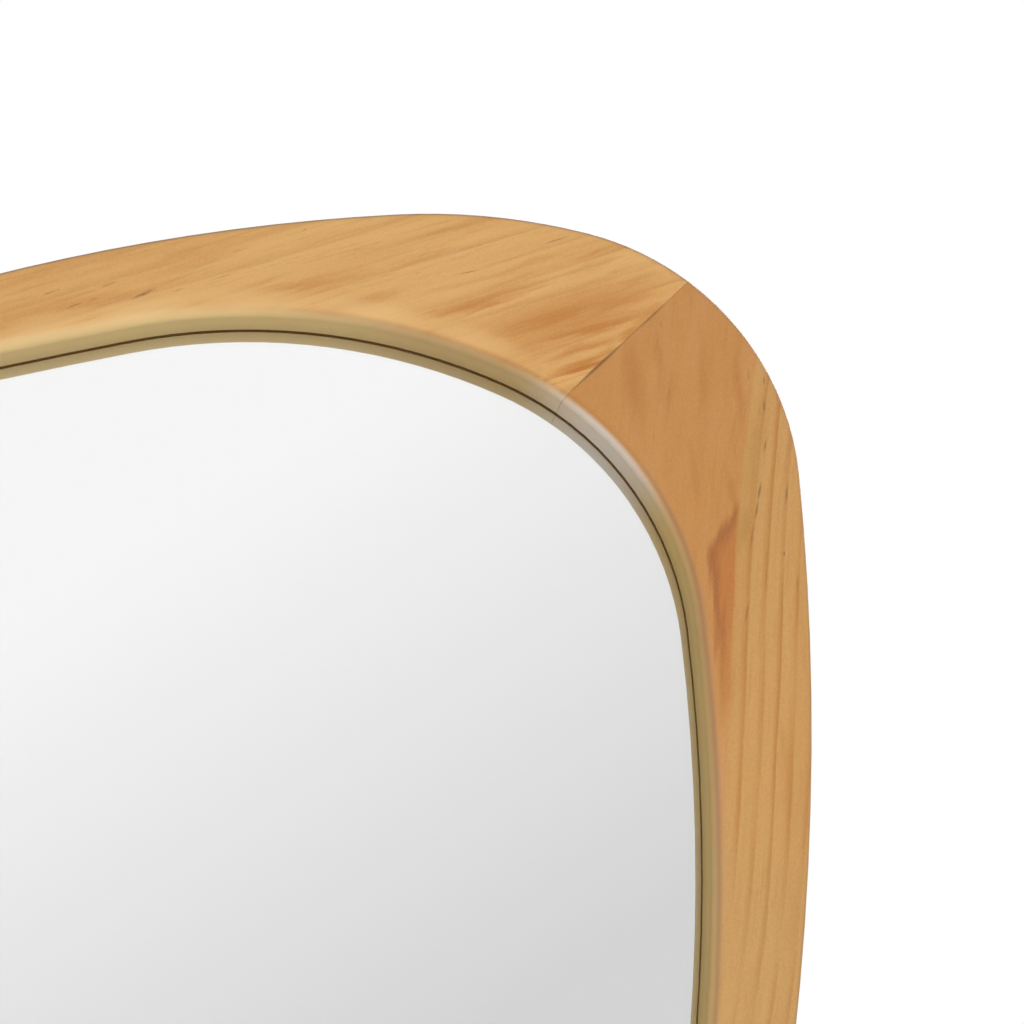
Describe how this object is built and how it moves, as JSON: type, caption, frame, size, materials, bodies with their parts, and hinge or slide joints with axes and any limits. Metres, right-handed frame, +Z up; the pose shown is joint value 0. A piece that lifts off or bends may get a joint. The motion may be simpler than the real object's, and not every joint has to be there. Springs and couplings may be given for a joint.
{
  "type": "wall mirror",
  "caption": "Wall mirror in an asymmetric rounded frame of mitred pine rails, with glass deep behind a flared lip, a backing held by turn buttons, and ring hangers on the back.",
  "frame": {"origin": "midway between the two wall hooks, on the wall plane behind the mirror", "axes": "+Z up, +Y into the wall so that the mirror faces -Y, +X to the right as seen from the front"},
  "size_m": [0.602, 0.0355, 0.7591],
  "materials": {
    "pine": "satin clear lacquer",
    "beech": "plain",
    "clear_glass": "polished",
    "silvering": "mirror",
    "grey_card": "matte",
    "fibreboard": "matte",
    "plated_sheet": "zinc plated",
    "plated_strap": "zinc plated",
    "plated_wire": "zinc plated",
    "plated_screw": "zinc plated",
    "black_rubber": "matte"
  },
  "bodies": {
    "frame": {"backing_board": "fibreboard", "bottom_rail": "pine", "hanger_screws": "plated_screw", "hanger_strap_left": "plated_strap", "hanger_strap_right": "plated_strap", "left_rail": "pine", "liner_card": "grey_card", "mirror_glass": "clear_glass", "mitre_dowels": "beech", "right_rail": "pine", "silver_coating": "silvering", "top_rail": "pine", "turn_button_screws": "plated_screw", "wall_bumpers": "black_rubber"},
    "button_1": {"turn_button_1": "plated_sheet"},
    "button_2": {"turn_button_2": "plated_sheet"},
    "button_3": {"turn_button_3": "plated_sheet"},
    "button_4": {"turn_button_4": "plated_sheet"},
    "button_5": {"turn_button_5": "plated_sheet"},
    "button_6": {"turn_button_6": "plated_sheet"},
    "button_7": {"turn_button_7": "plated_sheet"},
    "button_8": {"turn_button_8": "plated_sheet"},
    "ring_left": {"hanger_ring_left": "plated_wire"},
    "ring_right": {"hanger_ring_right": "plated_wire"}
  },
  "joints": [
    {"name": "button_1_turn", "type": "hinge", "parent": "frame", "child": "button_1", "pos_m": [0.26843, -0.0048, -0.08255], "axis": [0, 1, 0], "continuous": true},
    {"name": "button_2_turn", "type": "hinge", "parent": "frame", "child": "button_2", "pos_m": [0.14207, -0.0048, 0.15234], "axis": [0, 1, 0], "continuous": true},
    {"name": "button_3_turn", "type": "hinge", "parent": "frame", "child": "button_3", "pos_m": [-0.1282, -0.0048, 0.12268], "axis": [0, 1, 0], "continuous": true},
    {"name": "button_4_turn", "type": "hinge", "parent": "frame", "child": "button_4", "pos_m": [-0.26729, -0.0048, -0.08067], "axis": [0, 1, 0], "continuous": true},
    {"name": "button_5_turn", "type": "hinge", "parent": "frame", "child": "button_5", "pos_m": [-0.26807, -0.0048, -0.29834], "axis": [0, 1, 0], "continuous": true},
    {"name": "button_6_turn", "type": "hinge", "parent": "frame", "child": "button_6", "pos_m": [-0.12898, -0.0048, -0.50823], "axis": [0, 1, 0], "continuous": true},
    {"name": "button_7_turn", "type": "hinge", "parent": "frame", "child": "button_7", "pos_m": [0.12841, -0.0048, -0.49227], "axis": [0, 1, 0], "continuous": true},
    {"name": "button_8_turn", "type": "hinge", "parent": "frame", "child": "button_8", "pos_m": [0.24402, -0.0048, -0.2883], "axis": [0, 1, 0], "continuous": true},
    {"name": "ring_left_swing", "type": "hinge", "parent": "frame", "child": "ring_left", "pos_m": [-0.275, -0.00335, -0.01675], "axis": [-1, 0, 0], "range_deg": [-2, 175]},
    {"name": "ring_right_swing", "type": "hinge", "parent": "frame", "child": "ring_right", "pos_m": [0.275, -0.00335, -0.01675], "axis": [-1, 0, 0], "range_deg": [-2, 175]}
  ]
}
